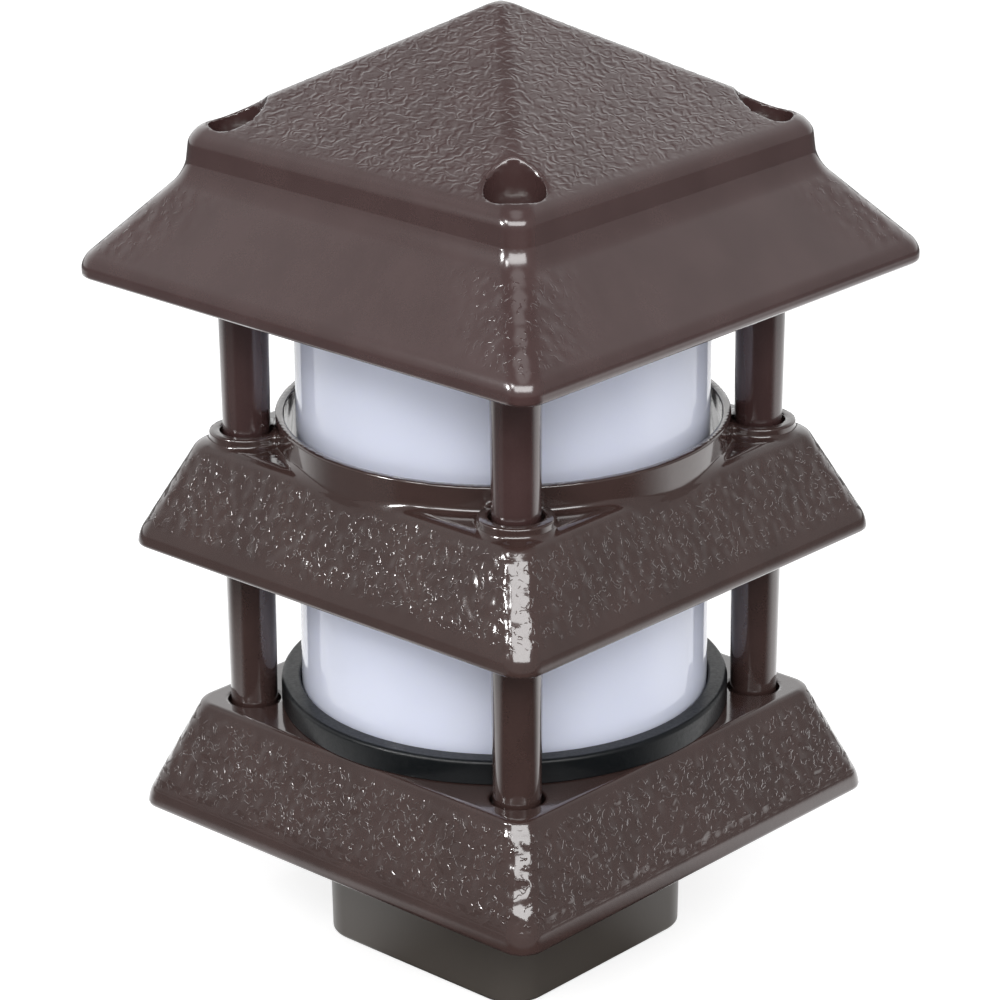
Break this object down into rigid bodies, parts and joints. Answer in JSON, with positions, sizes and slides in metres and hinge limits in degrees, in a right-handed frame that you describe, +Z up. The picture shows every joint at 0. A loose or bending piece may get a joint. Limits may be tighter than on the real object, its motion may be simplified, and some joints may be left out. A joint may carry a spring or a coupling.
{
  "type": "pagoda landscape light",
  "caption": "Square pagoda-style landscape light: flared cast tiers on slim posts round an opal glass cylinder, on a short square hub tapped for a pipe.",
  "frame": {"origin": "centre of the mounting hub's foot", "axes": "+Z up through the roof's point; +X and +Y across the two pairs of flat sides"},
  "size_m": [0.15, 0.15, 0.2482],
  "materials": {
    "bronze_coat": "die-cast aluminium under a textured bronze powder coat",
    "hub_coat": "die-cast aluminium under a satin bronze coat",
    "opal_glass": "white opal glass with ground edges",
    "seal_rubber": "black rubber",
    "zinc_steel": "zinc plated steel",
    "stainless": "stainless steel",
    "porcelain": "white glazed porcelain",
    "brass": "brass",
    "nickel": "nickel plated brass shell",
    "opal_plastic": "opal lamp dome",
    "white_plastic": "white lamp housing",
    "board_metal": "white masked aluminium circuit board",
    "black_plastic": "black glass-like insulator",
    "black_lead": "black insulated lead",
    "white_lead": "white insulated lead",
    "green_lead": "green insulated lead",
    "connector_plastic": "orange moulded connector",
    "green_zinc": "green passivated steel"
  },
  "bodies": {
    "base": {"bottom_tier": "bronze_coat", "mounting_hub": "hub_coat", "base_gasket": "seal_rubber", "hub_gasket": "seal_rubber", "hub_screws": "stainless", "socket_bracket": "zinc_steel", "bracket_screws": "zinc_steel", "lampholder_body": "porcelain", "lampholder_shell": "nickel", "lampholder_contact": "brass", "lampholder_screws": "zinc_steel", "wire_grommet": "seal_rubber", "line_lead": "black_lead", "neutral_lead": "white_lead", "ground_lead": "green_lead", "wire_connectors": "connector_plastic", "ground_screw": "green_zinc"},
    "glass": {"glass_cylinder": "opal_glass"},
    "middle": {"middle_tier": "bronze_coat"},
    "roof": {"roof": "bronze_coat", "roof_skirt": "bronze_coat", "roof_posts": "bronze_coat", "roof_gasket": "seal_rubber", "tie_screws": "stainless", "tie_screw_washers": "seal_rubber"},
    "lamp_tip": {"lamp_insulator": "black_plastic", "lamp_contact": "brass"},
    "lamp": {"lamp_dome": "opal_plastic", "lamp_board": "board_metal", "lamp_housing": "white_plastic", "lamp_cap": "nickel"}
  },
  "joints": [
    {"name": "glass_lift", "type": "slide", "parent": "base", "child": "glass", "axis": [0, 0, 1], "range_m": [0, 0.14]},
    {"name": "middle_lift", "type": "slide", "parent": "glass", "child": "middle", "axis": [0, 0, 1], "range_m": [0, 0.145]},
    {"name": "roof_lift", "type": "slide", "parent": "middle", "child": "roof", "axis": [0, 0, 1], "range_m": [0, 0.16]},
    {"name": "lamp_rise", "type": "slide", "parent": "base", "child": "lamp_tip", "axis": [0, 0, 1], "range_m": [0, 0.022]},
    {"name": "lamp_turn", "type": "hinge", "parent": "lamp_tip", "child": "lamp", "pos_m": [0, 0, 0.1], "axis": [0, 0, 1], "range_deg": [0, 2160]}
  ],
  "couplings": [
    {"joint": "lamp_rise", "follows": "lamp_turn", "m_per_rad": 0.00057757}
  ]
}
